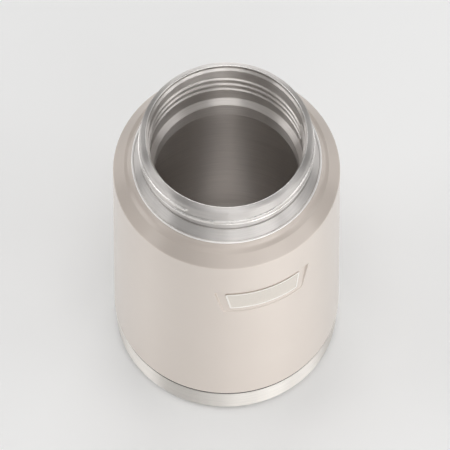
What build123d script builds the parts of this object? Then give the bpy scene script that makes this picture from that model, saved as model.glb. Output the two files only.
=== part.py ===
from build123d import *
import os
from math import hypot, sqrt

# Vacuum-insulated food jar, open, without its screw lid. Sizes in millimetres.
# +Z is up, the origin is the centre of the foot's underside, and the badge faces -Y.

# ---- driving dimensions -----------------------------------------------------------------
# painted outer shell
body_radius = 52.5
shoulder_height = 137.5      # where the straight wall meets the sloping shoulder
shell_wall = 0.8
shoulder_round = 1.0
shoulder_slope_width = 5.0   # straight slope, measured inwards from the body radius
shoulder_slope_rise = 5.5
cove_width = 3.4             # hollow ring between the slope and the collar
cove_rise = 3.4
cove_sag = 0.4
hem_round = 0.4              # rolled lower edge of the painted wall

# pressed recess for the badge, on the -Y side
recess_drop = 22.7           # from the shoulder height down to the recess's top edge
recess_height = 18.2
recess_top_width = 47.1
recess_bottom_width = 39.1
recess_corner = 1.4
recess_depth_top = 1.5
recess_depth_bottom = 0.55

# badge plate, glued to the floor of the recess
badge_drop = 3.05            # from the recess's top edge
badge_height = 11.7
badge_top_width = 36.6
badge_bottom_width = 32.8
badge_corner = 1.0
badge_thickness = 0.4
badge_rim_width = 0.7
badge_rim_height = 0.2
badge_glue_thickness = 0.1
badge_glue_margin = 0.8

# neck: outer sleeve with the lid's thread, the stop bead and the lip
neck_wall = 0.8
neck_height = 32.4           # top of the lip above the shoulder height
neck_step = 0.6              # the neck is this much wider above the stop bead
neck_space = 3.0             # from the neck's outside in to the mouth
lip_drop = 1.5               # the lip falls this far from its inner to its outer edge
lip_thickness = 0.6
lip_round = 0.5
bead_depth = 11.4            # centre of the stop bead below the top of the lip
bead_reach = 0.75
bead_width = 2.2
sleeve_flange_width = 2.2    # foot turned outwards under the shell's top flange

# lid thread outside the neck, with equal ridges one pitch apart
lid_thread_starts = 3
lid_thread_pitch = 4.5
lid_thread_end_angle = -137.0  # where the first ridge ends, blunt, at its top
lid_thread_depth = 5.8       # centre of a ridge's upper end below the top of the lip
lid_thread_turns = 0.36
lid_thread_reach = 0.8
lid_thread_base = 2.8
lid_thread_crest = 1.4

# stopper thread inside the neck, on the bore below the step under the lip
mouth_land = 0.2             # straight wall between the lip's underside and the step
mouth_step_width = 0.9       # the bore is this much smaller than the mouth
mouth_step_fall = 1.0
stopper_thread_starts = 2
stopper_thread_pitch = 4.6
stopper_thread_end_angle = -3.0
stopper_thread_depth = 8.3
stopper_thread_turns = 1.5
stopper_thread_reach = 0.8
stopper_thread_base = 2.4
stopper_thread_crest = 0.8
thread_root = 0.3            # how deep every ridge is rooted in its wall

# bare steel collar at the foot of the neck
collar_height = 6.9
collar_draw = 2.75           # the collar is this much narrower at its top
collar_rim = 0.65            # flat ring at the top, from the cone in to the neck
collar_wall = 0.6
foot_bead_radius = 0.5
collar_clearance = 0.1       # round the neck, and to the painted shoulder

# food pot, inside the vacuum space
liner_wall = 0.6
ledge_height = 4.0           # outer edge of the sealing ledge above the shoulder height
ledge_fall = 2.75
ledge_width = 2.6            # from the bore in to the throat
ledge_round = 0.6
throat_length = 9.0
vacuum_space = 5.6           # between the painted wall and the pot
pot_flare = 9.0              # height over which the throat widens to the pot
pot_weld_skirt = 3.0         # straight part of the neck piece, down to the weld
pot_floor = 19.0
pot_corner = 9.0

# reflecting foil, getter and evacuation seal in the vacuum space
foil_thickness = 0.15
foil_gap = 0.1
foil_slit = 1.2
foil_hem = 2.0               # bare pot left above and below the foil
getter_radius = 6.0
getter_thickness = 2.4
clip_wall = 0.4
clip_tab_width = 5.0
clip_tab_reach = 12.5
clip_clearance = 1.5         # between the clip's tabs and the foil under the pot

# vacuum bottom, welded into the shell's skirt
vacuum_bottom_height = 9.0   # underside of the plate above the foot
vacuum_bottom_wall = 0.8
vacuum_rim_height = 5.0
vacuum_corner = 2.0
dimple_radius = 7.0
dimple_depth = 2.0
seal_hole_radius = 1.0
seal_bead_radius = 3.0
seal_bead_height = 1.2

# brushed steel base, seam ring and foot
seam_height = 17.15          # middle of the seam above the foot
seam_width = 0.7
seam_ring_inset = 0.45
skirt_inset = 1.9            # the shell's skirt is this much smaller than the body
skirt_bottom = 8.0
base_step = 0.3              # the base's top edge is this much inside the painted wall
base_taper = 0.85            # and its lower end is this much smaller again
base_wall = 0.6
base_edge_round = 2.5
base_lip_round = 0.25
foot_proud = 0.8             # the foot stands below the steel by this much
foot_inset = 7.35            # from the base's lower end in to the foot's edge
foot_thickness = 1.6
foot_ring_width = 12.0
foot_relief = 0.4
foot_clearance = 0.1
base_glue_height = 5.0
base_glue_drop = 1.8         # from the base's top edge down to the glue

weld_gap = 0.05              # fit between curved faces that are welded or glued

# ---- worked out from the driving dimensions ---------------------------------------------
crease_radius = body_radius - shoulder_slope_width
crease_height = shoulder_height + shoulder_slope_rise
cove_radius = crease_radius - cove_width
collar_seat = crease_height + cove_rise
collar_foot_radius = cove_radius - collar_clearance - 2 * foot_bead_radius
collar_top_radius = collar_foot_radius - collar_draw
collar_bore = collar_top_radius - collar_rim
neck_waist_radius = collar_bore - collar_clearance
neck_radius = neck_waist_radius + neck_step
mouth_radius = neck_radius - neck_space
lip_top = shoulder_height + neck_height
lip_edge_height = lip_top - lip_drop
lip_underside = lip_edge_height - lip_thickness
bead_centre = lip_top - bead_depth
bore_radius = mouth_radius - mouth_step_width
step_top = lip_underside - mouth_land
step_bottom = step_top - mouth_step_fall
throat_radius = bore_radius - ledge_width
pot_radius = body_radius - shell_wall - vacuum_space - liner_wall
ledge_top = shoulder_height + ledge_height
ledge_bottom = ledge_top - ledge_fall
throat_bottom = ledge_bottom - throat_length
flare_bottom = throat_bottom - pot_flare
pot_weld = flare_bottom - pot_weld_skirt
pot_outside = pot_radius + liner_wall
pot_underside = pot_floor - liner_wall
clip_underside = pot_underside - clip_wall
seam_top = seam_height + seam_width / 2
seam_bottom = seam_height - seam_width / 2
skirt_radius = body_radius - skirt_inset
skirt_bore = skirt_radius - shell_wall
base_top_radius = body_radius - base_step
base_bottom_radius = base_top_radius - base_taper
foot_radius = base_bottom_radius - foot_inset
foot_pocket_radius = foot_radius + foot_clearance
recess_top = shoulder_height - recess_drop
recess_bottom = recess_top - recess_height
badge_top = recess_top - badge_drop
badge_bottom = badge_top - badge_height


def round_corners(face, rounds):
    """Face in the XZ plane with some corners rounded; rounds lists (point, radius)."""
    for (r, z), radius in rounds:
        corner = face.vertices().sort_by_distance((r, 0, z))[0]
        face = face.fillet_2d(radius, [corner])
    return face


def outline_face(points, rounds=()):
    """Face in the XZ plane from (radius, height) points."""
    outline = Polyline(*[(r, 0, z) for r, z in points], close=True)
    return round_corners(make_face(outline).face(), rounds)


def turned(points, rounds=()):
    """Solid of revolution about Z from (radius, height) points."""
    return revolve(outline_face(points, rounds), Axis.Z)


def turned_edges(*edges):
    """Solid of revolution about Z from a closed chain of edges in the XZ plane."""
    return revolve(make_face(Wire(list(edges))), Axis.Z)


def offset_path(points, distance):
    """Open path moved sideways by distance, to the left of its direction, mitred."""
    lines = []
    for (r0, z0), (r1, z1) in zip(points, points[1:]):
        length = hypot(r1 - r0, z1 - z0)
        ur, uz = (r1 - r0) / length, (z1 - z0) / length
        lines.append((r0 - uz * distance, z0 + ur * distance, ur, uz))
    moved = [lines[0][:2]]
    for (ra, za, ur, uz), (rb, zb, vr, vz) in zip(lines, lines[1:]):
        along = ((rb - ra) * vz - (zb - za) * vr) / (ur * vz - uz * vr)
        moved.append((ra + ur * along, za + uz * along))
    last_r, last_z = points[-1]
    moved.append((last_r - lines[-1][3] * distance, last_z + lines[-1][2] * distance))
    return moved


def round_cup(radius, bottom, top, corner):
    """Solid round block with its lower edge rounded."""
    foot = (radius, bottom)
    return turned([(0, bottom), foot, (radius, top), (0, top)], [(foot, corner)])


def trapezoid_prism(top, bottom, top_width, bottom_width, corner):
    """Upright trapezoid, run out through the -Y side of the jar."""
    corners = [
        (-top_width / 2, top), (top_width / 2, top),
        (bottom_width / 2, bottom), (-bottom_width / 2, bottom),
    ]
    face = outline_face(corners, [(point, corner) for point in corners])
    return extrude(Pos(0, -body_radius / 2, 0) * face, amount=body_radius, dir=(0, -1, 0))


def recess_cone(extra):
    """Solid whose side is the recess's floor, moved outwards by extra."""
    spare = 4 * shell_wall
    slope = (recess_depth_top - recess_depth_bottom) / recess_height
    low = body_radius - recess_depth_bottom + slope * spare + extra
    high = body_radius - recess_depth_top - slope * spare + extra
    height = recess_height + 2 * spare
    base = Pos(0, 0, recess_bottom - spare)
    return base * Cone(low, high, height, align=(Align.CENTER, Align.CENTER, Align.MIN))


def ridge_section(radius, reach, base, crest):
    """Trapezoid rooted in a wall of the given radius; a negative reach points inwards."""
    side = 1 if reach > 0 else -1
    flank = (base - crest) / 2 / abs(reach)
    inmost, half_root = radius - side * thread_root, base / 2 + flank * thread_root
    return make_face(Polyline(
        (inmost, 0, -half_root), (radius + reach, 0, -crest / 2),
        (radius + reach, 0, crest / 2), (inmost, 0, half_root), close=True))


def thread_ridges(section, radius, starts, pitch, turns, top, end_angle):
    """Equal right-hand helical ridges, one for each start; top is the height of their upper ends."""
    lead = starts * pitch
    rise = lead * turns
    path = Helix(pitch=lead, height=rise, radius=radius)
    ridge = Pos(0, 0, top - rise) * sweep(section, path=path, is_frenet=True)
    first = end_angle - 360 * turns
    return [Rot(0, 0, first + 360 * start / starts) * ridge for start in range(starts)]


def shell_path(inset):
    """Shell's section from the skirt up to the neck, moved inwards by inset."""
    return offset_path([
        (skirt_radius, skirt_bottom), (skirt_radius, seam_top), (body_radius, seam_top),
        (body_radius, shoulder_height), (crease_radius, crease_height),
        (cove_radius, collar_seat), (collar_bore, collar_seat)], inset)


def cove_arc(crease, rim):
    """Hollow arc between the shoulder's crease and the collar."""
    (r0, z0), (r1, z1) = crease, rim
    sag = cove_sag / hypot(r1 - r0, z1 - z0)
    middle = ((r0 + r1) / 2 - (z1 - z0) * sag, 0, (z0 + z1) / 2 + (r1 - r0) * sag)
    return ThreePointArc((r0, 0, z0), middle, (r1, 0, z1))


def make_outer_shell():
    outside, inside = shell_path(0), shell_path(shell_wall)
    edges = []
    for path in (outside, inside):
        points = [(r, 0, z) for r, z in path]
        edges += [Line(a, b) for a, b in zip(points[:4], points[1:5])]
        edges += [cove_arc(path[4], path[5]), Line(points[5], points[6])]
    ends = [((outside[i][0], 0, outside[i][1]), (inside[i][0], 0, inside[i][1])) for i in (0, -1)]
    edges += [Line(a, b) for a, b in ends]
    face = round_corners(make_face(Wire(edges)).face(),
                         [(outside[2], hem_round), (outside[3], shoulder_round)])
    shell = revolve(face, Axis.Z)
    grown = trapezoid_prism(
        recess_top + shell_wall, recess_bottom - shell_wall, recess_top_width + 2 * shell_wall,
        recess_bottom_width + 2 * shell_wall, recess_corner + shell_wall)
    wall_middle = body_radius - shell_wall / 2
    low, high = recess_bottom - 2 * shell_wall, recess_top + 2 * shell_wall
    wall_block = turned([(0, low), (wall_middle, low), (wall_middle, high), (0, high)])
    pressed_in = (grown & wall_block) - recess_cone(-shell_wall)
    pocket = trapezoid_prism(
        recess_top, recess_bottom, recess_top_width, recess_bottom_width, recess_corner)
    return shell + pressed_in - (pocket - recess_cone(0))


def badge_slab(margin, inner, outer):
    """Part of the badge's outline between two offsets from the recess's floor."""
    outline = trapezoid_prism(
        badge_top - margin, badge_bottom + margin, badge_top_width - 2 * margin,
        badge_bottom_width - 2 * margin, badge_corner)
    return (outline & recess_cone(outer)) - recess_cone(inner)


def make_badge_plate():
    face = badge_glue_thickness + badge_thickness
    rim_top = face + badge_rim_height
    plate = badge_slab(0, badge_glue_thickness, rim_top)
    return plate - badge_slab(badge_rim_width, face, rim_top + badge_rim_height)


def make_badge_glue():
    return badge_slab(badge_glue_margin, 0, badge_glue_thickness)


def make_neck_sleeve():
    flange_top = collar_seat - shell_wall
    flange_bottom = flange_top - neck_wall
    flange_radius = neck_waist_radius + sleeve_flange_width
    waist_bore = neck_waist_radius - neck_wall
    neck_bore = neck_radius - neck_wall
    bead_low, bead_high = bead_centre - bead_width / 2, bead_centre + bead_width / 2
    lip_outer, lip_inner = (neck_radius, lip_edge_height), (mouth_radius, lip_top)
    sleeve = turned([
        (waist_bore, flange_bottom), (flange_radius, flange_bottom), (flange_radius, flange_top),
        (neck_waist_radius, flange_top), (neck_waist_radius, bead_low), (neck_radius, bead_high),
        lip_outer, lip_inner, (mouth_radius, lip_underside), (neck_bore, lip_underside),
        (neck_bore, bead_high), (waist_bore, bead_low),
    ], [(lip_outer, lip_round), (lip_inner, lip_round)])
    foot, crest, head = (
        (neck_waist_radius, 0, bead_low), (neck_radius + bead_reach, 0, bead_centre),
        (neck_radius, 0, bead_high))
    root = ((waist_bore + neck_waist_radius) / 2, 0, bead_centre)
    bead = turned_edges(ThreePointArc(foot, crest, head), Line(head, root), Line(root, foot))
    sleeve = sleeve + bead
    section = ridge_section(neck_radius, lid_thread_reach, lid_thread_base, lid_thread_crest)
    for ridge in thread_ridges(section, neck_radius, lid_thread_starts, lid_thread_pitch,
                               lid_thread_turns, lip_top - lid_thread_depth, lid_thread_end_angle):
        sleeve = sleeve + ridge
    return sleeve


def make_collar_ring():
    bead_r = collar_foot_radius + foot_bead_radius
    bead_top = collar_seat + 2 * foot_bead_radius
    bead_middle = collar_seat + foot_bead_radius
    collar_top = collar_seat + collar_height
    low, outermost, high, inmost = (
        (bead_r, 0, collar_seat), (bead_r + foot_bead_radius, 0, bead_middle),
        (bead_r, 0, bead_top), (collar_foot_radius, 0, bead_middle))
    corners = [
        inmost, (collar_top_radius, 0, collar_top), (collar_bore, 0, collar_top),
        (collar_bore, 0, collar_top - collar_wall),
        (collar_foot_radius - collar_wall, 0, collar_seat), low]
    bead_back = Line(high, inmost)
    return turned_edges(
        ThreePointArc(low, outermost, high), bead_back,
        *[Line(a, b) for a, b in zip(corners, corners[1:])])


def make_liner_neck():
    inside = [
        (pot_radius, pot_weld), (pot_radius, flare_bottom), (throat_radius, throat_bottom),
        (throat_radius, ledge_bottom), (bore_radius, ledge_top), (bore_radius, step_bottom),
        (mouth_radius, step_top), (mouth_radius, lip_underside)]
    outside = offset_path(inside, -liner_wall)
    neck = turned(inside + outside[::-1], [(inside[3], ledge_round), (inside[4], ledge_round)])
    section = ridge_section(bore_radius, -stopper_thread_reach, stopper_thread_base,
                            stopper_thread_crest)
    for ridge in thread_ridges(section, bore_radius, stopper_thread_starts, stopper_thread_pitch,
                               stopper_thread_turns, lip_top - stopper_thread_depth,
                               stopper_thread_end_angle):
        neck = neck + ridge
    return neck


def make_liner_pot():
    outside = round_cup(pot_outside, pot_underside, pot_weld, pot_corner + liner_wall)
    return outside - round_cup(pot_radius, pot_floor, pot_weld, pot_corner)


def make_foil_wrap():
    inner = pot_outside + foil_gap
    outer = inner + foil_thickness
    low, high = pot_underside + pot_corner + foil_hem, pot_weld - foil_hem
    wrap = turned([(inner, low), (outer, low), (outer, high), (inner, high)])
    slit = Pos(0, outer, (low + high) / 2) * Box(foil_slit, outer, high - low)
    return wrap - slit


def make_foil_disc():
    top = pot_underside - foil_gap
    hole, edge = clip_tab_reach + clip_clearance, pot_radius - pot_corner
    return turned([(hole, top - foil_thickness), (edge, top - foil_thickness), (edge, top), (hole, top)])


def make_getter_pellet():
    low = clip_underside - getter_thickness
    return turned([(0, low), (getter_radius, low), (getter_radius, clip_underside), (0, clip_underside)])


def make_getter_clip():
    inner = getter_radius + weld_gap
    low = clip_underside - getter_thickness
    ring = turned([(inner, low), (inner + clip_wall, low), (inner + clip_wall, clip_underside),
                   (inner, clip_underside)])
    strap = Pos(0, 0, clip_underside + clip_wall / 2) * Box(2 * clip_tab_reach, clip_tab_width, clip_wall)
    cap_radius = inner + clip_wall
    cap = turned([(0, clip_underside), (cap_radius, clip_underside), (cap_radius, pot_underside),
                  (0, pot_underside)])
    return ring + cap + strap


def make_vacuum_bottom():
    radius = skirt_bore - weld_gap
    top = vacuum_bottom_height + vacuum_rim_height
    plate_top = vacuum_bottom_height + vacuum_bottom_wall
    dish = round_cup(radius, vacuum_bottom_height, top, vacuum_corner)
    dish = dish - round_cup(radius - vacuum_bottom_wall, plate_top, top,
                            vacuum_corner - vacuum_bottom_wall)
    dimple_ceiling = vacuum_bottom_height + dimple_depth
    boss_top = dimple_ceiling + vacuum_bottom_wall
    boss_radius = dimple_radius + vacuum_bottom_wall
    boss = turned([(0, vacuum_bottom_height), (boss_radius, vacuum_bottom_height),
                   (boss_radius, boss_top), (0, boss_top)])
    dimple = turned([(0, vacuum_bottom_height), (dimple_radius, vacuum_bottom_height),
                     (dimple_radius, dimple_ceiling), (0, dimple_ceiling)])
    hole = turned([(0, dimple_ceiling), (seal_hole_radius, dimple_ceiling),
                   (seal_hole_radius, boss_top), (0, boss_top)])
    return dish + boss - dimple - hole


def make_vacuum_seal():
    ceiling = vacuum_bottom_height + dimple_depth
    dome_radius = (seal_bead_radius ** 2 + seal_bead_height ** 2) / (2 * seal_bead_height)
    dome_centre = ceiling - seal_bead_height + dome_radius
    half = seal_bead_radius / 2
    tip = (0, 0, ceiling - seal_bead_height)
    side = (half, 0, dome_centre - sqrt(dome_radius ** 2 - half ** 2))
    rim, top = (seal_bead_radius, 0, ceiling), (0, 0, ceiling)
    return turned_edges(ThreePointArc(tip, side, rim), Line(rim, top), Line(top, tip))


def base_bore(height):
    """Inner radius of the base's tapering band at a height."""
    share = (height - foot_proud) / (seam_bottom - foot_proud)
    return base_bottom_radius - base_wall + (base_top_radius - base_bottom_radius) * share


def make_base_cup():
    outer_edge = (base_bottom_radius, foot_proud)
    inner_edge = (base_bottom_radius - base_wall, foot_proud + base_wall)
    rim = (base_top_radius, seam_bottom)
    pocket_top = foot_thickness + base_wall
    return turned([
        (0, foot_thickness), (foot_pocket_radius, foot_thickness), (foot_pocket_radius, foot_proud),
        outer_edge, rim, (base_top_radius - base_wall, seam_bottom), inner_edge,
        (foot_pocket_radius + base_wall, foot_proud + base_wall),
        (foot_pocket_radius + base_wall, pocket_top), (0, pocket_top),
    ], [(outer_edge, base_edge_round), (inner_edge, base_edge_round - base_wall),
        (rim, base_lip_round)])


def make_base_glue():
    high = seam_bottom - base_glue_drop
    low = high - base_glue_height
    inner = skirt_radius + weld_gap
    return turned([(inner, low), (base_bore(low) - weld_gap, low), (base_bore(high) - weld_gap, high),
                   (inner, high)])


def make_seam_ring():
    inner, outer = skirt_radius + weld_gap, body_radius - seam_ring_inset
    return turned([(inner, seam_bottom), (outer, seam_bottom), (outer, seam_top), (inner, seam_top)])


def make_foot_pad():
    relief_radius = foot_radius - foot_ring_width
    return turned([(0, foot_relief), (relief_radius, foot_relief), (relief_radius, 0),
                   (foot_radius, 0), (foot_radius, foot_thickness), (0, foot_thickness)])


makers = {
    "outer_shell": make_outer_shell,
    "badge_plate": make_badge_plate,
    "badge_glue": make_badge_glue,
    "collar_ring": make_collar_ring,
    "neck_sleeve": make_neck_sleeve,
    "liner_neck": make_liner_neck,
    "liner_pot": make_liner_pot,
    "foil_wrap": make_foil_wrap,
    "foil_disc": make_foil_disc,
    "getter_clip": make_getter_clip,
    "getter_pellet": make_getter_pellet,
    "vacuum_bottom": make_vacuum_bottom,
    "vacuum_seal": make_vacuum_seal,
    "seam_ring": make_seam_ring,
    "base_cup": make_base_cup,
    "base_glue": make_base_glue,
    "foot_pad": make_foot_pad,
}

os.makedirs("parts", exist_ok=True)
for node, maker in makers.items():
    solid = maker()
    export_step(solid, f"parts/{node}.step")
    print(f"{node}: {solid.volume:.1f} mm3")
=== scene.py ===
import bpy
import numpy as np
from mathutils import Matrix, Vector


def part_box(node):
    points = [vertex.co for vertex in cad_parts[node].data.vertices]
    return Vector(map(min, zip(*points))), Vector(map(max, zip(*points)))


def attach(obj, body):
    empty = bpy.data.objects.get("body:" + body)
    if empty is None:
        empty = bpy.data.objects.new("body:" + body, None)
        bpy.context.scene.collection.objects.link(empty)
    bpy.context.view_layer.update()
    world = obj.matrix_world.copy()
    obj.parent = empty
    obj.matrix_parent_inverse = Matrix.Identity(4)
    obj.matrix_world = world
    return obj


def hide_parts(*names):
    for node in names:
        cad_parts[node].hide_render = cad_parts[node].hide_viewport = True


# An open insulated food jar. Shapes are worked out in millimetres and put into the meshes in metres.
# Angles go round the jar from its front (-Y) towards +X, in radians unless a name says degrees.

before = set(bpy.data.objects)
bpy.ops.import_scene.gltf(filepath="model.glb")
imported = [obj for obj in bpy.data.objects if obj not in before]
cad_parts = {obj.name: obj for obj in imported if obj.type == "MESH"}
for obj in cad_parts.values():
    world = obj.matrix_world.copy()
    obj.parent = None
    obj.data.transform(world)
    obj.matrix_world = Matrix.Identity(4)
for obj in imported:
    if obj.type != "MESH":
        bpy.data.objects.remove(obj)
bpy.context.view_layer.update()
mm = 0.001
fullTurn = 2 * np.pi
onSurface = 0.05  # a section point this near a wall's radius is on that wall


def reach(node):
    # a node's greatest radius, lowest and highest point in millimetres, read from the frame
    low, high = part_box(node)
    return high.x / mm, low.z / mm, high.z / mm


bodyRadius, skirtBottom, collarSeat = reach("outer_shell")
print("frame loaded:", len(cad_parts), "nodes")


# Making meshes from arrays

section = {
    "arcStep": 12,  # degrees between the points of a rounded corner
    "straight": 1e-4,  # a corner this near to straight, in radians, isn't rounded
    "runStep": 6.0,  # between the points of a straight run
    "supportAt": 0.12, "supportShare": 0.2,  # how far inside a run its first and last points are, at most
    "supportedRun": 0.5,  # a shorter run has no such points
}


def smoothStep(t):
    # 0 below 0, 1 above 1, and 3t^2 - 2t^3 between
    t = np.clip(t, 0, 1)
    return t * t * (3 - 2 * t)


def evenAngles(count):
    return np.arange(count) / count * fullTurn


def roundedLoop(corners, arcStep=section["arcStep"]):
    # Closed section from (radius, height, rounding, step) corners, outside upwards. A corner becomes an
    # arc that touches both its runs; a run is divided by the step given at the corner where it starts,
    # and has a point close to each end so that the shading of flat stretches stays flat.
    s = section
    place = np.array([c[:2] for c in corners], float)
    before, after = np.roll(place, 1, axis=0), np.roll(place, -1, axis=0)
    arcs = []
    for p, a, b, corner in zip(place, before, after, corners):
        toA, toB = (a - p) / np.linalg.norm(a - p), (b - p) / np.linalg.norm(b - p)
        opening = np.arccos(np.clip(toA @ toB, -1, 1))
        rounding = corner[2] if len(corner) > 2 else 0
        if rounding == 0 or opening > np.pi - s["straight"]:
            arcs.append(p[None])
            continue
        run = rounding / np.tan(opening / 2)
        middle = p + (toA + toB) / np.linalg.norm(toA + toB) * rounding / np.sin(opening / 2)
        first, last = p + toA * run - middle, p + toB * run - middle
        start, end = np.arctan2(first[1], first[0]), np.arctan2(last[1], last[0])
        turn = (end - start + np.pi) % fullTurn - np.pi
        angle = start + turn * np.linspace(0, 1, max(3, int(abs(np.degrees(turn)) / arcStep) + 2))
        arcs.append(middle + rounding * np.stack([np.cos(angle), np.sin(angle)], axis=1))
    loop = []
    for arc, following, corner in zip(arcs, arcs[1:] + arcs[:1], corners):
        loop.append(arc)
        start, end = arc[-1], following[0]
        length = np.linalg.norm(end - start)
        step = corner[3] if len(corner) > 3 else s["runStep"]
        share = np.linspace(0, 1, int(np.ceil(length / step)) + 1)[1:-1]
        if length > s["supportedRun"]:
            support = min(s["supportAt"] / length, s["supportShare"])
            share = np.unique(np.concatenate([[support], share, [1 - support]]))
        loop.append(start + share[:, None] * (end - start))
    return np.concatenate(loop)


def offsetLine(points, distance):
    # an open line of corners moved sideways, to the right of its direction, with mitred corners
    points = np.array(points, float)
    along = np.diff(points, axis=0)
    along /= np.linalg.norm(along, axis=1)[:, None]
    side = np.stack([along[:, 1], -along[:, 0]], axis=1)
    bisector = side[1:] + side[:-1]
    bisector *= (2 / np.sum(bisector ** 2, axis=1))[:, None]
    shift = np.concatenate([side[:1], bisector, side[-1:]])
    return points + shift * distance


def turnedSurface(loop, angles, radialShift=0):
    # x = r sin(a), y = -r cos(a), z = h for every section point (r, h) and every angle a
    radius, height, angles = np.broadcast_arrays(loop[:, 0, None] + radialShift, loop[:, 1, None], angles)
    return np.stack([radius * np.sin(angles), -radius * np.cos(angles), height], axis=-1)


def meshFromGrid(name, points, nodeNames, rowsJoin=True):
    # points[row, column] is a place in millimetres. Columns join up with themselves, and so do rows where
    # rowsJoin is set. Points at one place, as on the axis or on a closing line, become one point.
    rows, columns = points.shape[:2]
    same = np.unique(points.reshape(-1, 3).round(5), axis=0, return_inverse=True)[1].ravel()
    first = np.full(same.max() + 1, same.size)
    np.minimum.at(first, same, np.arange(same.size))
    number = first[same].reshape(rows, columns)
    ahead = np.roll(number, -1, axis=1)
    corners = np.stack([number, ahead, np.roll(ahead, -1, axis=0), np.roll(number, -1, axis=0)], axis=-1)
    corners = corners[:rows if rowsJoin else rows - 1].reshape(-1, 4)
    lowPole, highPole = corners[:, 0] == corners[:, 1], corners[:, 2] == corners[:, 3]
    quads = corners[~lowPole & ~highPole]
    triangles = np.concatenate([corners[lowPole & ~highPole][:, [0, 2, 3]],
                                corners[highPole & ~lowPole][:, [0, 1, 2]]])
    used, flat = np.unique(np.concatenate([quads.ravel(), triangles.ravel()]), return_inverse=True)
    quads = flat[:quads.size].reshape(-1, 4)
    triangles = flat[quads.size:].reshape(-1, 3)
    mesh = bpy.data.meshes.new(name)
    mesh.from_pydata((points.reshape(-1, 3)[used] * mm).tolist(), [], quads.tolist() + triangles.tolist())
    mesh.polygons.foreach_set("use_smooth", np.ones(len(mesh.polygons), bool))
    mesh.update()
    piece = bpy.data.objects.new(name, mesh)
    bpy.context.scene.collection.objects.link(piece)
    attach(piece, "root")
    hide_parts(*nodeNames)
    return piece


# Painted body, with the pressed recess for the badge

painted = {
    "wall": 0.8, "slopeWidth": 5.0, "slopeRise": 5.5, "coveWidth": 3.4, "coveRise": 3.4, "coveSag": 0.4,
    "edgeRounding": 1.0, "creaseRounding": 1.2, "coveRounding": 3.0, "hemRounding": 0.25,
    "skirtInset": 1.9, "seamTop": 17.5, "neckHole": 39.6, "coarseStep": 6.0, "insideStep": 3.0,
    "columnsAcross": 14, "columnsBehind": 84, "spreadBehind": 1.25,
}
recess = {
    "drop": 22.7, "height": 18.2, "topWidth": 47.1, "bottomWidth": 39.1, "corner": 1.4,
    "topDepth": 1.5, "bottomDepth": 0.55, "wallWidth": 0.4,
    "fineStep": 0.12, "fineInside": 1.8, "fineOutside": 0.35,  # the fine grid along its edges
}
shoulderHeight = collarSeat - painted["coveRise"] - painted["slopeRise"]
recessTop = shoulderHeight - recess["drop"]
recessBottom = recessTop - recess["height"]
creaseRadius = bodyRadius - painted["slopeWidth"]
coveRadius = creaseRadius - painted["coveWidth"]


def recessHalfWidth(height):
    # half the trapezoid's width at a height, straight from its bottom to its top
    share = (height - recessBottom) / recess["height"]
    return (recess["bottomWidth"] + (recess["topWidth"] - recess["bottomWidth"]) * share) / 2


def recessDepth(height):
    # how far the recess's floor lies inside the wall at a height
    share = (height - recessBottom) / recess["height"]
    return recess["bottomDepth"] + (recess["topDepth"] - recess["bottomDepth"]) * share


def insideTrapezoid(x, height):
    # distance inwards from the rounded trapezoid's outline: corner radius less the distance to the
    # corner's centre near a corner, and less the distance to the nearest straight side elsewhere
    lean = (recess["topWidth"] - recess["bottomWidth"]) / 2 / recess["height"]
    toSide = (recessHalfWidth(height) - np.abs(x)) / np.hypot(1, lean)
    toEnd = np.minimum(recessTop - height, height - recessBottom)
    corner = recess["corner"]
    return corner - np.hypot(np.maximum(corner - toSide, 0), np.maximum(corner - toEnd, 0))


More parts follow.
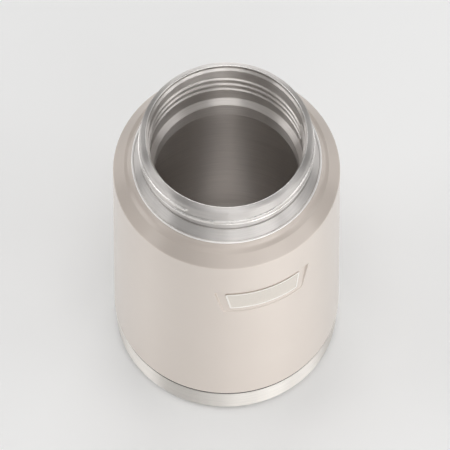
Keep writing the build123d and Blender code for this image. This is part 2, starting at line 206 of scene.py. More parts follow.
def makePaintedBody():
    # The section turned about the axis, less the recess's depth times a smooth step of the distance
    # inside the trapezoid. Columns follow the trapezoid's leaning sides, so its edges stay clean.
    p, r = painted, recess
    fine, coarse = r["fineStep"], p["coarseStep"]
    bands = [recessBottom - r["fineOutside"], recessBottom + r["fineInside"],
             recessTop - r["fineInside"], recessTop + r["fineOutside"]]
    rim = (p["neckHole"], collarSeat)
    skirtRadius = bodyRadius - p["skirtInset"]
    coveMiddle = np.array([(creaseRadius + coveRadius) / 2, collarSeat - p["coveRise"] / 2])
    coveMiddle -= 2 * p["coveSag"] / np.sqrt(2)  # inwards and down; the cove's rounding stays above it
    outside = [(skirtRadius, skirtBottom), (skirtRadius, p["seamTop"]), (bodyRadius, p["seamTop"]),
               *[(bodyRadius, band) for band in bands], (bodyRadius, shoulderHeight),
               (creaseRadius, collarSeat - p["coveRise"]), tuple(coveMiddle), (coveRadius, collarSeat), rim]
    inside = offsetLine(outside, -p["wall"])[::-1]
    roundings = [0.3, 0.4, p["hemRounding"], 0, 0, 0, 0,
                 p["edgeRounding"], p["creaseRounding"], p["coveRounding"], 0.5, 0]
    steps = [3, 2, coarse, fine, 1.0, fine, coarse, 1.5, 0.5, 0.5, 2, 2]
    corners = [(x, z, a, s) for (x, z), a, s in zip(outside, roundings, steps)]
    corners += [(x, z, 0, p["insideStep"]) for x, z in inside]
    loop = roundedLoop(corners)
    height = np.clip(loop[:, 1], recessBottom, recessTop)[:, None]
    half = recessHalfWidth(height)
    nearMiddle = np.linspace(0, 1, p["columnsAcross"] + 1)[None, :-1] * (half - r["fineInside"])
    nearEdge = half + np.arange(-r["fineInside"], r["fineOutside"], fine)[None]
    front = np.arcsin(np.concatenate([nearMiddle, nearEdge], axis=1) / bodyRadius)
    growth = np.linspace(0, 1, p["columnsBehind"] // 2 + 1)[None, 1:] ** p["spreadBehind"]
    behind = front[:, -1:] + (np.pi - front[:, -1:]) * growth
    right = np.concatenate([front, behind], axis=1)
    angles = np.concatenate([-right[:, -2:0:-1], right], axis=1)
    across = np.where(np.abs(angles) < np.pi / 2, bodyRadius * np.sin(angles), bodyRadius)
    inward = insideTrapezoid(across, loop[:, 1, None])
    onWall = loop[:, 0, None] > (skirtRadius + bodyRadius - p["wall"]) / 2
    pressed = recessDepth(loop[:, 1, None]) * smoothStep(inward / r["wallWidth"]) * onWall
    points = turnedSurface(loop, angles, -pressed)
    return meshFromGrid("paintedBody", points, ["outer_shell"])


# Badge: a bare trapezoid plate with a raised rim, bent to the recess's floor

badge = {
    "drop": 3.05, "height": 11.7, "topWidth": 36.6, "bottomWidth": 32.8, "corner": 1.0, "leastCorner": 0.15,
    "glue": 0.1, "thickness": 0.4, "rimWidth": 0.7, "rimHeight": 0.2, "edgeRounding": 0.12,
    "rimFoot": 0.06,  # slope at the rim's inner foot
    "cornerPoints": 7, "levelSteps": 50, "leaningSteps": 14,  # points round the outline
    "panelRings": 9, "middleShare": 0.4,  # rings close to a line of twice this share of the bottom's width
}


def badgeOutline(inset):
    # Corners of the inset trapezoid, each rounded by the corner radius less the inset, with the same
    # number of points for every inset so that the rings match.
    b = badge
    top = recessTop - b["drop"]
    bottom = top - b["height"]
    lean = (b["topWidth"] - b["bottomWidth"]) / 2 / b["height"]
    slant = np.hypot(1, lean)
    rounding = max(b["corner"] - inset, b["leastCorner"])
    low, high = bottom + inset, top - inset
    halfLow, halfHigh = (b["bottomWidth"] / 2 + (z - bottom) * lean - inset * slant for z in (low, high))
    corners = np.array([(-halfLow, low), (halfLow, low), (halfHigh, high), (-halfHigh, high)])
    arcs = []
    for i, p in enumerate(corners):
        toA, toB = corners[i - 1] - p, corners[(i + 1) % 4] - p
        toA, toB = toA / np.linalg.norm(toA), toB / np.linalg.norm(toB)
        opening = np.arccos(toA @ toB)
        middle = p + (toA + toB) / np.linalg.norm(toA + toB) * rounding / np.sin(opening / 2)
        first = np.arctan2(*(p + toA * rounding / np.tan(opening / 2) - middle)[::-1])
        turn = (np.pi - opening) * np.linspace(0, 1, b["cornerPoints"])
        arcs.append(middle + rounding * np.stack([np.cos(first + turn), np.sin(first + turn)], axis=1))
    outline = []
    for i, arc in enumerate(arcs):
        following = arcs[(i + 1) % 4][0]
        steps = b["leaningSteps"] if i % 2 else b["levelSteps"]
        share = np.linspace(0, 1, steps + 1)[1:-1, None]
        outline += [arc, arc[-1] + share * (following - arc[-1])]
    return np.concatenate(outline)


def makeBadge():
    # A profile of (inset, height above the recess's floor) carried round the outline, then bent onto
    # the floor: y = -sqrt((floor radius + height)^2 - x^2). Front and back close to their middle lines.
    b = badge
    face = b["glue"] + b["thickness"]
    rimTop, rimInner, e = face + b["rimHeight"], b["rimWidth"], b["edgeRounding"]
    cut = 0.3 * e  # how far a rounded edge's middle point lies inside its corner
    profile = [(0.0, b["glue"]), (0.0, face), (0.0, rimTop - e), (cut, rimTop - cut), (e, rimTop),
               (rimInner - e, rimTop), (rimInner - cut, rimTop - cut), (rimInner, rimTop - e),
               (rimInner, face + b["rimFoot"]), (rimInner + b["rimFoot"], face)]
    rings = []
    for inset, up in profile:
        outline = badgeOutline(inset)
        rings.append(np.concatenate([outline, np.full((len(outline), 1), up)], axis=1))
    middle = recessTop - b["drop"] - b["height"] / 2
    run = np.linspace(-1, 1, b["levelSteps"] + 1)[1:-1]
    end = np.ones(2 * b["cornerPoints"] + b["leaningSteps"] - 1)
    ends = -end[:b["cornerPoints"]], end, -end[b["cornerPoints"]:]
    across = np.concatenate([ends[0], run, ends[1], -run, ends[2]]) * b["middleShare"] * b["bottomWidth"]

    def middleLine(ring):
        return np.stack([across, np.full(len(ring), middle), ring[:, 2]], axis=1)

    panelEdge, backEdge = rings[-1], rings[0]
    shares = np.linspace(0, 1, b["panelRings"])
    front = [panelEdge + (middleLine(panelEdge) - panelEdge) * s for s in shares[1:]]
    back = [middleLine(backEdge) + (backEdge - middleLine(backEdge)) * s for s in shares[:-1]]
    flat = np.stack(back + rings + front)
    radius = bodyRadius - recessDepth(flat[..., 1]) + flat[..., 2]
    points = np.stack([flat[..., 0], -np.sqrt(radius ** 2 - flat[..., 0] ** 2), flat[..., 1]], axis=-1)
    return meshFromGrid("badgePlate", points, ["badge_plate"], rowsJoin=False)


# Threads: the lid's on the outside of the neck, a stopper's on the inside

lidThread = {
    "starts": 3, "pitch": 4.5, "topAngleDegrees": -47.0, "depth": 5.8, "turns": 0.36, "reach": 0.8,
    "base": 2.8, "crest": 1.4, "endLength": 1.1,
}
stopperThread = {
    "starts": 2, "pitch": 4.6, "topAngleDegrees": 87.0, "depth": 8.3, "turns": 1.5, "reach": 0.8,
    "base": 2.4, "crest": 0.8, "endLength": 1.1,
}


def threadHeight(angles, heights, ridge, radius):
    # For each start, the ridge's middle falls by the lead in one turn back from its upper end. The ridge
    # stands by its reach times a smooth step across its flanks and a smooth step at its two blunt ends.
    lead = ridge["starts"] * ridge["pitch"]
    length = ridge["turns"] * fullTurn * radius
    flank = (ridge["base"] - ridge["crest"]) / 2
    total = np.zeros(np.broadcast(angles, heights).shape)
    for start in range(ridge["starts"]):
        top = np.radians(ridge["topAngleDegrees"]) + start * fullTurn / ridge["starts"]
        for lap in range(-1, int(np.ceil(ridge["turns"]))):  # lap -1 rounds off the upper end
            back = (top - angles) % fullTurn + lap * fullTurn
            along = back * radius
            upperEnd = smoothStep(along / ridge["endLength"] + 0.5)
            lowerEnd = smoothStep((length - along) / ridge["endLength"] + 0.5)
            middle = lipTop - ridge["depth"] - lead * back / fullTurn
            across = smoothStep((ridge["base"] / 2 - np.abs(heights - middle)) / flank)
            total = np.maximum(total, ridge["reach"] * across * (upperEnd * lowerEnd))
    return total


# Neck: outer sleeve with lip, stop bead and the lid's thread

neck = {
    "wall": 0.8, "height": 32.4, "waistRadius": 39.5, "radius": 40.1, "mouthRadius": 37.1, "lipDrop": 1.5,
    "lipThickness": 0.6, "lipRounding": 0.5, "lipShoulder": 1.8, "beadDepth": 11.4, "beadReach": 0.75,
    "beadCorner": 0.25,  # the section's corner stands out this much more, and its rounding cuts it back
    "beadRounding": 0.75, "beadWidth": 2.2, "flangeWidth": 2.2, "flangeRounding": 0.2,
    "columns": 480, "threadStep": 0.13,
}
lipTop = shoulderHeight + neck["height"]
lipEdge = lipTop - neck["lipDrop"]
lipUnderside = lipEdge - neck["lipThickness"]


def makeNeckSleeve():
    # the section turned about the axis, with the lid's ridges added to its radius above the stop bead
    n = neck
    flangeTop = collarSeat - painted["wall"]
    flangeBottom, flangeRadius = flangeTop - n["wall"], n["waistRadius"] + n["flangeWidth"]
    beadMiddle = lipTop - n["beadDepth"]
    beadLow, beadHigh = beadMiddle - n["beadWidth"] / 2, beadMiddle + n["beadWidth"] / 2
    waist, bore = n["waistRadius"], n["waistRadius"] - n["wall"]
    neckBore, edge = n["radius"] - n["wall"], n["flangeRounding"]
    loop = roundedLoop([
        (bore, flangeBottom, edge), (flangeRadius, flangeBottom, edge), (flangeRadius, flangeTop, edge),
        (waist, flangeTop, 0.6, 4), (waist, beadLow, 0.5),
        (n["radius"] + n["beadReach"] + n["beadCorner"], beadMiddle, n["beadRounding"]),
        (n["radius"], beadHigh, 0.4, n["threadStep"]), (n["radius"], lipEdge, n["lipShoulder"], 0.4),
        (n["mouthRadius"], lipTop, n["lipRounding"]), (n["mouthRadius"], lipUnderside, 0.1),
        (neckBore, lipUnderside, 0.1), (neckBore, beadHigh, 0.4), (bore, beadLow, 0.4),
    ])
    angles = evenAngles(n["columns"])
    onOutside = (loop[:, 0] > n["radius"] - onSurface) & (loop[:, 1] > beadHigh)
    ridges = threadHeight(angles[None], loop[:, 1, None], lidThread, n["radius"])
    points = turnedSurface(loop, angles, ridges * onOutside[:, None])
    return meshFromGrid("neckSleeve", points, ["neck_sleeve"])


# Collar ring at the foot of the neck

collar = {
    "height": 6.9, "draw": 2.75, "rim": 0.65, "wall": 0.6, "beadRadius": 0.5, "beadRounding": 0.42,
    "grooveWidth": 0.12, "grooveDepth": 0.06,  # between the bead and the cone
    "topRounding": 0.28, "coneStep": 0.7, "columns": 240,
}


def makeCollarRing():
    # the section turned about the axis: bead at the foot, cone narrowing upwards, flat rim to the neck
    c = collar
    outer, bead = reach("collar_ring")[0], c["beadRadius"]
    foot, beadTop = outer - 2 * bead, collarSeat + 2 * bead
    top, bore = collarSeat + c["height"], outer - 2 * bead - c["draw"] - c["rim"]
    loop = roundedLoop([
        (foot - c["wall"], collarSeat, 0.05), (outer - bead, collarSeat, 0.05),
        (outer, collarSeat, c["beadRounding"]), (outer, beadTop, c["beadRounding"]),
        (foot + c["grooveWidth"], beadTop - 0.1, 0.12),
        (foot - c["grooveDepth"], collarSeat + 1.3 * bead, 0.15),
        (foot - c["draw"], top, c["topRounding"], c["coneStep"]),
        (bore, top, 0.1), (bore, top - c["wall"], 0.1),
    ])
    points = turnedSurface(loop, evenAngles(c["columns"]))
    return meshFromGrid("collarRing", points, ["collar_ring"])


# Inner wall of the neck: stopper thread, sealing ledge, throat and flare

liner = {
    "wall": 0.6, "land": 0.2, "stepWidth": 0.9, "stepFall": 1.0, "ledgeHeight": 4.0, "ledgeFall": 2.75,
    "ledgeWidth": 2.6, "ledgeRounding": 0.6, "throatLength": 9.0, "flare": 9.0, "flareRounding": 3.0,
    "weldSkirt": 3.0, "arcStep": 24, "columns": 420, "threadStep": 0.2, "hiddenStep": 3,
}


def makeLinerNeck():
    # The line of the inside and the same line moved out by the wall, turned about the axis, less the
    # stopper's ridges on the bore.
    p = liner
    potRadius = reach("liner_pot")[0] - p["wall"]
    bore = neck["mouthRadius"] - p["stepWidth"]
    stepTop = lipUnderside - p["land"]
    stepBottom = stepTop - p["stepFall"]
    ledgeTop = shoulderHeight + p["ledgeHeight"]
    ledgeBottom = ledgeTop - p["ledgeFall"]
    throat, throatBottom = bore - p["ledgeWidth"], ledgeBottom - p["throatLength"]
    flareBottom = throatBottom - p["flare"]
    down = [(neck["mouthRadius"], lipUnderside), (neck["mouthRadius"], stepTop), (bore, stepBottom),
            (bore, ledgeTop), (throat, ledgeBottom), (throat, throatBottom), (potRadius, flareBottom),
            (potRadius, flareBottom - p["weldSkirt"])]
    up = offsetLine(down, -p["wall"])[::-1]
    roundings = [0.05, 0.1, 0.25, p["ledgeRounding"], p["ledgeRounding"],
                 p["flareRounding"], p["flareRounding"], 0.1]
    steps = [1, 0.5, p["threadStep"], 0.8, 3, 3, 2, 1]
    corners = [(r, z, a, p["hiddenStep"]) for (r, z), a in zip(up, roundings[::-1])]
    corners += [(r, z, a, s) for (r, z), a, s in zip(down, roundings, steps)]
    loop = roundedLoop(corners, p["arcStep"])
    angles = evenAngles(p["columns"])
    onBore = (np.abs(loop[:, 0] - bore) < onSurface) & (loop[:, 1] > ledgeTop)
    ridges = threadHeight(angles[None], loop[:, 1, None], stopperThread, bore)
    points = turnedSurface(loop, angles, -ridges * onBore[:, None])
    return meshFromGrid("linerNeck", points, ["liner_neck"])


# Food pot, base, seam ring and foot: plain sections turned about the axis

pot = {"wall": 0.6, "corner": 9.0, "arcStep": 7, "columns": 180}
base = {
    "wall": 0.6, "step": 0.3, "taper": 0.85, "edgeRounding": 2.5, "lipRounding": 0.25, "footProud": 0.8,
    "footInset": 7.35, "footThickness": 1.6, "footClearance": 0.1, "seamBottom": 16.05,
    "arcStep": 9, "columns": 300,
}
foot = {"ringWidth": 12.0, "relief": 0.4, "columns": 160}
seam = {"inset": 0.45, "fit": 0.05, "columns": 240}


def makePot():
    # up the outside from the middle of the floor, over the edge and back down the inside
    outer, bottom, top = reach("liner_pot")
    wall, corner = pot["wall"], pot["corner"]
    loop = roundedLoop([
        (0, bottom, 0, 6), (outer, bottom, corner + wall, 8), (outer, top, 0.1),
        (outer - wall, top, 0.1, 8), (outer - wall, bottom + wall, corner, 6), (0, bottom + wall),
    ], pot["arcStep"])
    points = turnedSurface(loop, evenAngles(pot["columns"]))
    return meshFromGrid("foodPot", points, ["liner_pot"])


def makeBase():
    # a shallow cup with a pocket underneath for the foot, its band narrowing downwards
    b = base
    top = bodyRadius - b["step"]
    low = top - b["taper"]
    pocket = low - b["footInset"] + b["footClearance"]
    under, inner = b["footProud"], b["footProud"] + b["wall"]
    ceiling = b["footThickness"]
    loop = roundedLoop([
        (0, ceiling, 0, 8), (pocket, ceiling, 0.1), (pocket, under, 0.2),
        (low, under, b["edgeRounding"], 3), (top, b["seamBottom"], b["lipRounding"], 1),
        (top - b["wall"], b["seamBottom"], 0.1), (low - b["wall"], inner, b["edgeRounding"] - b["wall"]),
        (pocket + b["wall"], inner, 0.1), (pocket + b["wall"], ceiling + b["wall"], 0.1, 8),
        (0, ceiling + b["wall"]),
    ], b["arcStep"])
    points = turnedSurface(loop, evenAngles(b["columns"]))
    return meshFromGrid("steelBase", points, ["base_cup"])


def makeSeamRing():
    # a flat band round the shell's skirt, set back from the wall above it
    inner = bodyRadius - painted["skirtInset"] + seam["fit"]
    outer = bodyRadius - seam["inset"]
    low, high = base["seamBottom"], painted["seamTop"]
    loop = roundedLoop([(inner, low, 0.05), (outer, low, 0.2), (outer, high, 0.2), (inner, high, 0.05)])
    points = turnedSurface(loop, evenAngles(seam["columns"]))
    return meshFromGrid("seamRing", points, ["seam_ring"])


def makeFoot():
    # a disc that stands on its outer ring, with the middle relieved
    radius, low, high = reach("foot_pad")
    inner, relieved = radius - foot["ringWidth"], low + foot["relief"]
    loop = roundedLoop([
        (0, relieved, 0, 8), (inner, relieved, 0.1), (inner, low, 0.15),
        (radius, low, 0.4), (radius, high, 0.1, 8), (0, high)])
    points = turnedSurface(loop, evenAngles(foot["columns"]))
    return meshFromGrid("siliconeFoot", points, ["foot_pad"])


# Materials

# The lacquer's shoulder tone is painted shade: the sloping shoulder is darkened in colour for the light it
# misses.
lacquer = {
    "tones": ("#E4D9D0", "#E7DDD4"), "shoulderShadeTone": "#D0C5BC", "metallic": 0.5, "roughness": 0.52,
    "stretch": 0.85, "clearRoughness": 0.24, "grainSize": 0.9, "grainDepth": 0.02, "cloudSize": 28,
    "shoulderShadeTurns": (-0.3, 0.7),  # where the tone changes, from the shoulder's height
}
steelLines = {
    "length": 40.0,  # how much longer than wide a line is
    "noiseRange": (0.3, 0.7), "toneRange": (0.92, 1.06), "roughnessSwing": 0.06,
}
quarterTurn = 0.25  # an anisotropic rotation that spreads highlights across the lines round the axis


def fromHex(code):
    # an sRGB hex value as linear red, green, blue and alpha
    part = np.array([int(code[i:i + 2], 16) for i in (1, 3, 5)]) / 255
    return (*np.where(part <= 0.04045, part / 12.92, ((part + 0.055) / 1.055) ** 2.4).tolist(), 1.0)


def addNode(tree, kind, inputs=None, **settings):
    # a node with its settings; an input is a value, or another node's socket to link from
    node = tree.nodes.new(kind)
    for name, value in settings.items():
        setattr(node, name, value)
    for socket, value in (inputs or {}).items():
        if isinstance(value, bpy.types.NodeSocket):
            tree.links.new(value, node.inputs[socket])
        else:
            node.inputs[socket].default_value = value
    return node


def newMaterial(name, **shader):
    # a material with its main shader and the output; the shader's own settings are given by name
    material = bpy.data.materials.new(name)
    material.use_nodes = True
    tree = material.node_tree
    tree.nodes.clear()
    main = addNode(tree, "ShaderNodeBsdfPrincipled", shader)
    addNode(tree, "ShaderNodeOutputMaterial", {"Surface": main.outputs["BSDF"]})
    return material, tree, main


def metallicLacquer():
    # Satin lacquer with fine metal flakes, sprayed on steel that was brushed round: warm greige, with
    # soft upright bands of light and dark, and a clear top layer that turns pale towards the edges. The
    # flakes are under 0.1 mm, too fine to show, so the grain is drawn 0.9 mm coarse. From the shoulder's
    # edge up the colour is darker: painted shade, for the light that the sloping shoulder misses.
    look = lacquer
    material, tree, main = newMaterial("satinLacquer", **{
        "Metallic": look["metallic"], "Roughness": look["roughness"], "IOR": 1.5,
        "Anisotropic": look["stretch"], "Anisotropic Rotation": quarterTurn,
        "Coat Weight": 1.0, "Coat Roughness": look["clearRoughness"], "Coat IOR": 1.5})
    place = addNode(tree, "ShaderNodeTexCoord").outputs["Object"]
    grain = addNode(tree, "ShaderNodeTexNoise", {
        "Vector": place, "Scale": 1 / (look["grainSize"] * mm), "Detail": 2.0, "Roughness": 0.6})
    cloud = addNode(tree, "ShaderNodeTexNoise", {
        "Vector": place, "Scale": 1 / (look["cloudSize"] * mm), "Detail": 3.0})
    tone = addNode(tree, "ShaderNodeMix", {
        "Factor": cloud.outputs["Fac"], "A": fromHex(look["tones"][0]), "B": fromHex(look["tones"][1])},
        data_type="RGBA")
    split = addNode(tree, "ShaderNodeSeparateXYZ", {"Vector": place})
    # painted shade: just above the shoulder's edge the colour turns to the darker shoulder tone
    shoulderShadeMask = addNode(tree, "ShaderNodeMapRange", {
        "Value": split.outputs["Z"], "From Min": (shoulderHeight + look["shoulderShadeTurns"][0]) * mm,
        "From Max": (shoulderHeight + look["shoulderShadeTurns"][1]) * mm}, interpolation_type="SMOOTHSTEP")
    paintedShoulderShade = addNode(tree, "ShaderNodeMix", {
        "Factor": shoulderShadeMask.outputs["Result"], "A": tone.outputs["Result"],
        "B": fromHex(look["shoulderShadeTone"])}, data_type="RGBA")
    tree.links.new(paintedShoulderShade.outputs["Result"], main.inputs["Base Color"])
    bump = addNode(tree, "ShaderNodeBump", {
        "Height": grain.outputs["Fac"], "Strength": 0.1, "Distance": look["grainDepth"] * mm})
    tree.links.new(bump.outputs["Normal"], main.inputs["Normal"])
    tangent = addNode(tree, "ShaderNodeTangent", direction_type="RADIAL", axis="Z")
    tree.links.new(tangent.outputs["Tangent"], main.inputs["Tangent"])
    return material


def turnedSteel(name, tone, roughness, stretch, lineStep, lineDepth):
    # Stainless steel finished by turning or belt brushing round the axis: fine lines run round it, so
    # highlights spread across them into bright and dark fans. Real lines are nearer 0.1 mm apart, too
    # fine to show, so they are drawn lineStep millimetres apart.
    low, high = steelLines["noiseRange"]
    swing, (dark, bright) = steelLines["roughnessSwing"], steelLines["toneRange"]
    material, tree, main = newMaterial(name, **{
        "Metallic": 1.0, "Roughness": roughness, "Anisotropic": stretch, "Anisotropic Rotation": quarterTurn})
    place = addNode(tree, "ShaderNodeTexCoord").outputs["Object"]
    split = addNode(tree, "ShaderNodeSeparateXYZ", {"Vector": place})
    around = addNode(tree, "ShaderNodeCombineXYZ", {"X": split.outputs["X"], "Y": split.outputs["Y"]})
    radius = addNode(tree, "ShaderNodeVectorMath", {0: around.outputs["Vector"]}, operation="LENGTH")
    depth = addNode(tree, "ShaderNodeMath", {
        0: radius.outputs["Value"], 1: split.outputs["Z"]}, operation="ADD")
    fine = addNode(tree, "ShaderNodeMath", {
        0: depth.outputs["Value"], 1: steelLines["length"]}, operation="MULTIPLY")
    lines = addNode(tree, "ShaderNodeCombineXYZ", {
        "X": split.outputs["X"], "Y": split.outputs["Y"], "Z": fine.outputs["Value"]})
    brushed = addNode(tree, "ShaderNodeTexNoise", {
        "Vector": lines.outputs["Vector"], "Scale": 1 / (steelLines["length"] * lineStep * mm),
        "Detail": 3.0, "Roughness": 0.65})
    polish = addNode(tree, "ShaderNodeMapRange", {
        "Value": brushed.outputs["Fac"], "From Min": low, "From Max": high,
        "To Min": roughness - swing, "To Max": roughness + swing})
    tree.links.new(polish.outputs["Result"], main.inputs["Roughness"])
    level = addNode(tree, "ShaderNodeMapRange", {
        "Value": brushed.outputs["Fac"], "From Min": low, "From Max": high, "To Min": dark, "To Max": bright})
    shade = addNode(tree, "ShaderNodeHueSaturation", {
        "Color": fromHex(tone), "Value": level.outputs["Result"]})
    tree.links.new(shade.outputs["Color"], main.inputs["Base Color"])
    bump = addNode(tree, "ShaderNodeBump", {
        "Height": brushed.outputs["Fac"], "Strength": 0.2, "Distance": lineDepth * mm})
    tree.links.new(bump.outputs["Normal"], main.inputs["Normal"])
    tangent = addNode(tree, "ShaderNodeTangent", direction_type="RADIAL", axis="Z")
    tree.links.new(tangent.outputs["Tangent"], main.inputs["Tangent"])
    return material


def plainFinish(name, tone, roughness, metallic=0.0, grainSize=0.6, grainDepth=0.01):
    # an even finish whose fine grain, sized in millimetres, varies its tone by a few hundredths
    material, tree, main = newMaterial(name, **{"Metallic": metallic, "Roughness": roughness})
    place = addNode(tree, "ShaderNodeTexCoord").outputs["Object"]
    grain = addNode(tree, "ShaderNodeTexNoise", {
        "Vector": place, "Scale": 1 / (grainSize * mm), "Detail": 2.0})
    level = addNode(tree, "ShaderNodeMapRange", {
        "Value": grain.outputs["Fac"], "To Min": 0.93, "To Max": 1.07})
    shade = addNode(tree, "ShaderNodeHueSaturation", {
        "Color": fromHex(tone), "Value": level.outputs["Result"]})
    tree.links.new(shade.outputs["Color"], main.inputs["Base Color"])
    bump = addNode(tree, "ShaderNodeBump", {
        "Height": grain.outputs["Fac"], "Strength": 0.3, "Distance": grainDepth * mm})
    tree.links.new(bump.outputs["Normal"], main.inputs["Normal"])
    return material


def finishAndHighlightFaces(piece, material, chosen):
    # a second finish for the faces whose middle, as radius and height in millimetres, is chosen: here always
    # a paler one, whose tone is a painted highlight on those faces
    centres = np.zeros(3 * len(piece.data.polygons))
    piece.data.polygons.foreach_get("center", centres)
    x, y, height = centres.reshape(-1, 3).T / mm
    piece.data.materials.append(material)
    piece.data.polygons.foreach_set("material_index", chosen(np.hypot(x, y), height).astype(np.int32))


# Make everything

paintedBody = makePaintedBody()
neckSleeve = makeNeckSleeve()
collarRing = makeCollarRing()
linerNeck = makeLinerNeck()
foodPot = makePot()
steelBase = makeBase()
seamRing = makeSeamRing()
siliconeFoot = makeFoot()
badgePlate = makeBadge()

coat = metallicLacquer()
# steels: tone, roughness, how far highlights stretch, and the spacing and depth of the lines
neckSteel = turnedSteel("turnedStainless", "#DFDBD8", 0.44, 1.0, 0.35, 0.003)  # grey with soft fans
# Thread ridges and the lip's inner edge: smoother, unbrushed steel, and a paler tone that paints a highlight
# on them.
edgeSteelPaintedHighlight = turnedSteel("buffedStainlessPaintedHighlight", "#EFECE9", 0.28, 0.0, 0.35, 0.002)  # bright ridges and lip
linerSteel = turnedSteel("polishedStainless", "#EBE6E2", 0.34, 1.0, 0.6, 0.001)  # smooth, long reflections
# The collar's bead: smoother, unbrushed steel, and a paler tone that paints a highlight on it.
beadSteelPaintedHighlight = turnedSteel("satinStainlessPaintedHighlight", "#FBF9F7", 0.42, 0.0, 0.35, 0.002)  # an even pale ring
baseSteel = turnedSteel("brushedStainless", "#F7F3EE", 0.5, 1.0, 0.4, 0.006)  # pale, with drawn lines
# Moulded silicone for the foot and the seam ring; on the seam ring its near-black tone is also painted shade
# for the gap in the joint.
siliconeAndSeamShade = plainFinish("mattSiliconeAndSeamShade", "#2E2B29", 0.75)  # moulded, soft and nearly black
badgePanel = plainFinish("satinNickel", "#E6DFD6", 0.42, 0.4)  # plated, pale and quiet
# The badge's rim: the panel's plating with almost the same roughness in a paler tone, a painted highlight
# round the panel.
badgeRimPaintedHighlight = plainFinish("nickelRimPaintedHighlight", "#FBF8F3", 0.4, 0.35)  # plated, a light line round the panel
foil = plainFinish("aluminiumFoil", "#DADADA", 0.25, 1.0, 3.0, 0.1)  # rolled, bright, a little crumpled
getterMetal = plainFinish("sinteredGetter", "#55524F", 0.8, 0.6)  # pressed powder, dark and dull
glass = plainFinish("solderGlass", "#5B6560", 0.2)  # fused, smooth and dark
glue = plainFinish("epoxyGlue", "#A9A79F", 0.6)  # set in place, greyish and dull

finishes = {
    paintedBody: coat, neckSleeve: neckSteel, collarRing: neckSteel, linerNeck: linerSteel,
    foodPot: linerSteel, steelBase: baseSteel, seamRing: siliconeAndSeamShade, siliconeFoot: siliconeAndSeamShade,
    badgePlate: badgePanel,
}
hidden = {
    "badge_glue": glue, "base_glue": glue, "foil_wrap": foil, "foil_disc": foil, "getter_clip": linerSteel,
    "getter_pellet": getterMetal, "vacuum_bottom": linerSteel, "vacuum_seal": glass,
}
finishes.update({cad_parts[node]: material for node, material in hidden.items()})
for piece, material in finishes.items():
    piece.data.materials.clear()
    piece.data.materials.append(material)

# Faces beyond these margins get the paler finishes: ridges, lip edge, collar bead and badge rim, as painted
# highlights.
highlightMargins = {"beadMargin": 0.05, "rimMargin": 0.03, "ridgeMargin": 0.3}  # beyond the plain surface beside them
beadFoot = reach("collar_ring")[0] - 2 * collar["beadRadius"] + highlightMargins["beadMargin"]
badgeFace = bodyRadius + badge["glue"] + badge["thickness"] + highlightMargins["rimMargin"]
ridgeFoot = neck["radius"] + highlightMargins["ridgeMargin"]
lipInner = neck["mouthRadius"] + neck["lipRounding"]
finishAndHighlightFaces(collarRing, beadSteelPaintedHighlight, lambda radius, height: radius > beadFoot)
finishAndHighlightFaces(badgePlate, badgeRimPaintedHighlight, lambda radius, height: radius > badgeFace - recessDepth(height))
finishAndHighlightFaces(neckSleeve, edgeSteelPaintedHighlight, lambda radius, height: (radius > ridgeFoot) & (height > collarSeat)
            | (radius < lipInner) & (height > lipUnderside))
print("materials set")


# Studio: a pale paper floor, cloth-fronted lamps round the jar and one plain pale surround

studio = {
    "floorTone": "#FAFAFA", "floorRadius": 6.0, "skyTone": "#F0F0EF", "skyStrength": 0.40,
    "lampDistance": 1.3,  # from the aim point, in metres
    "elevation": 61.09, "azimuth": -20.0, "distance": 7.5915, "lens": 1306.96, "aimHeight": 85.0,
    "aimSide": 0.72,  # millimetres that the camera's aim lies to the left of the axis
}
softBoxes = {
    # azimuth and elevation in degrees, width and height in metres, and how bright the cloth looks, where
    # white paper in this light is about 1
    "behindLeftBox": (-140, 12, 0.55, 0.45, 1.72),
    "leftStripBox": (-81, 10, 0.3, 0.45, 1.70),
    "frontLeftBox": (-30, 10, 0.4, 0.45, 0.40),
    "frontBox": (-8, 10, 0.5, 0.45, 2.18),
    "keyBox": (17, 10, 0.6, 0.45, 3.62),
    "keySideBox": (44, 10, 0.5, 0.45, 1.84),
    "behindRightBox": (100, 12, 0.6, 0.45, 1.44),
    "leftHighBox": (-108, 45, 0.5, 0.5, 2.35),
    "frontHighBox": (-20, 45, 0.6, 0.5, 0.99),
    "rightHighBox": (60, 45, 0.6, 0.5, 1.49),
    "backBox": (160, 27, 1.0, 0.6, 2.30),
    "overheadBox": (-20, 84, 0.5, 0.5, 2.64),
}


def towards(azimuth, elevation):
    # the direction at an azimuth from the jar's front and an elevation, in degrees
    a, e = np.radians(azimuth), np.radians(elevation)
    return Vector((np.cos(e) * np.sin(a), -np.cos(e) * np.cos(a), np.sin(e)))


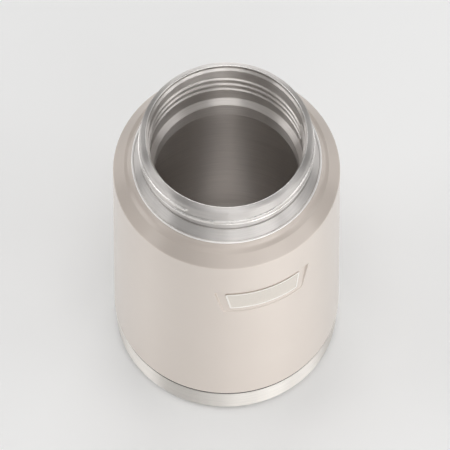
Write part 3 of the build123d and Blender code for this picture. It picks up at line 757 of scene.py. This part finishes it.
def aim(thing, place, target):
    # put a lamp or camera at a place, looking at the target
    thing.location = place
    thing.rotation_euler = (target - place).to_track_quat("-Z", "Y").to_euler()
    bpy.context.scene.collection.objects.link(thing)


aimPoint = Vector((0, 0, studio["aimHeight"] * mm))
for name, (azimuth, elevation, width, height, level) in softBoxes.items():
    lamp = bpy.data.lights.new(name, "AREA")
    lamp.shape, lamp.size, lamp.size_y = "RECTANGLE", width, height
    lamp.energy = level * np.pi * width * height  # watts that give the cloth this brightness
    box = bpy.data.objects.new(name, lamp)
    aim(box, aimPoint + towards(azimuth, elevation) * studio["lampDistance"], aimPoint)
    box.visible_camera = False

world = bpy.data.worlds.new("studioRoom")
bpy.context.scene.world = world
world.use_nodes = True
world.node_tree.nodes.clear()
sky = addNode(world.node_tree, "ShaderNodeBackground", {
    "Color": fromHex(studio["skyTone"]), "Strength": studio["skyStrength"]})
addNode(world.node_tree, "ShaderNodeOutputWorld", {"Surface": sky.outputs["Background"]})

floorMesh = bpy.data.meshes.new("studioFloor")
side = studio["floorRadius"]
floorCorners = [(-side, -side, 0), (side, -side, 0), (side, side, 0), (-side, side, 0)]
floorMesh.from_pydata(floorCorners, [], [(0, 1, 2, 3)])
floor = bpy.data.objects.new("studioFloor", floorMesh)
bpy.context.scene.collection.objects.link(floor)
paper = newMaterial("paleBackdropPaper", **{"Base Color": fromHex(studio["floorTone"]), "Roughness": 0.9})[0]
floorMesh.materials.append(paper)

lens = bpy.data.cameras.new("camera")
lens.sensor_width, lens.lens, lens.clip_start, lens.clip_end = 36.0, studio["lens"], 1.0, 60.0
camera = bpy.data.objects.new("camera", lens)
sideways = Vector((np.cos(np.radians(studio["azimuth"])), np.sin(np.radians(studio["azimuth"])), 0))
cameraAim = aimPoint - sideways * studio["aimSide"] * mm
aim(camera, cameraAim + towards(studio["azimuth"], studio["elevation"]) * studio["distance"], cameraAim)
bpy.context.scene.camera = camera
bpy.context.scene.view_settings.view_transform = "Standard"
print("studio set")
